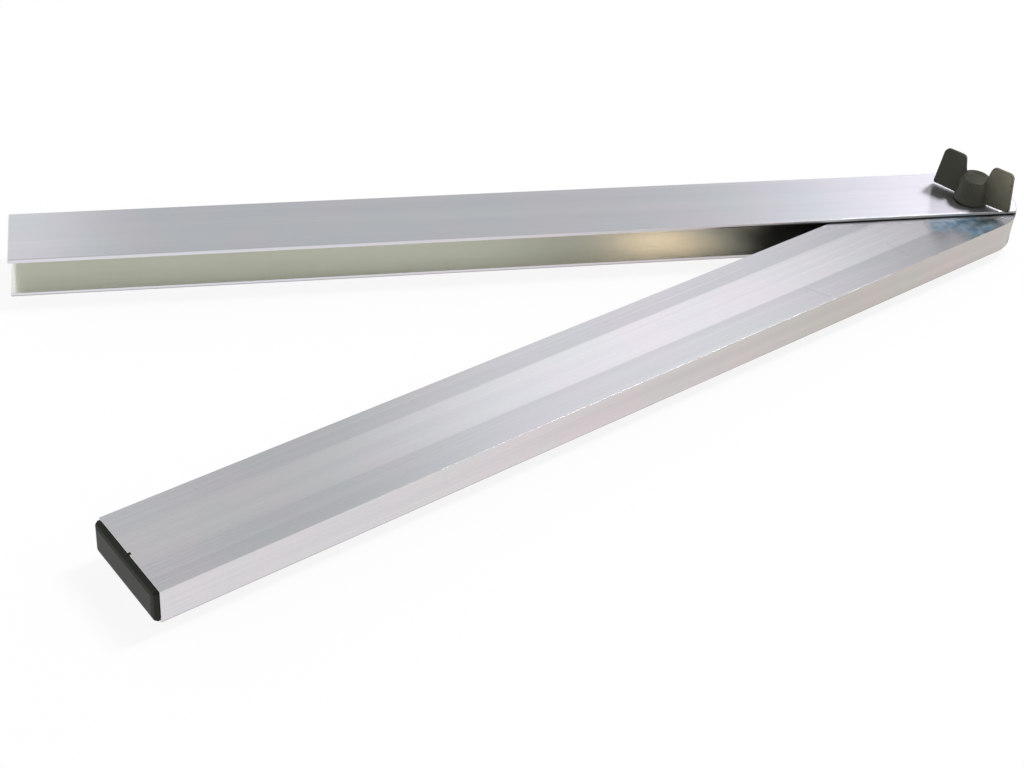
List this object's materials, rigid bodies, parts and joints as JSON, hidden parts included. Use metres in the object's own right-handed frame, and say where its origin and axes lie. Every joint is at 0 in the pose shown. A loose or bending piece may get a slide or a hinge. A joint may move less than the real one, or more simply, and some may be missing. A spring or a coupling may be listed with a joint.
{
  "type": "folding bevel",
  "caption": "Long aluminium bevel: a rectangular tube leg folds into a channel leg on a bolt, and a black wing nut clamps the angle.",
  "frame": {"origin": "on the pivot axis, at the flat crown of the bolt's head, the part's lowest face", "axes": "+Z along the pivot from the bolt's head to the wing nut; the channel leg runs along -X and its open side faces -Y"},
  "size_m": [0.6255, 0.3206, 0.0582],
  "materials": {
    "aluminium": "extruded, brushed along its length",
    "black_plastic": "moulded, satin",
    "grey_plastic": "moulded, matt",
    "zinc_steel": "bright zinc plate",
    "brass": "turned"
  },
  "bodies": {
    "channel": {"channel_leg": "aluminium", "pivot_bolt": "zinc_steel"},
    "blade": {"tube_leg": "aluminium", "pivot_block": "grey_plastic", "end_cap": "black_plastic"},
    "washer": {"flat_washer": "zinc_steel"},
    "nut": {"wing_nut": "black_plastic", "nut_insert": "brass"}
  },
  "joints": [
    {"name": "blade_pivot", "type": "hinge", "parent": "channel", "child": "blade", "pos_m": [0, 0, 0.0172], "axis": [0, 0, 1], "range_deg": [-25.94, 154.06]},
    {"name": "nut_rise", "type": "slide", "parent": "channel", "child": "washer", "axis": [0, 0, 1], "range_m": [0, 0.0025]},
    {"name": "nut_turn", "type": "hinge", "parent": "washer", "child": "nut", "pos_m": [0, 0, 0.0366], "axis": [0, 0, 1], "range_deg": [0, 720]}
  ],
  "couplings": [
    {"joint": "nut_rise", "follows": "nut_turn", "m_per_rad": 0.00019894}
  ]
}
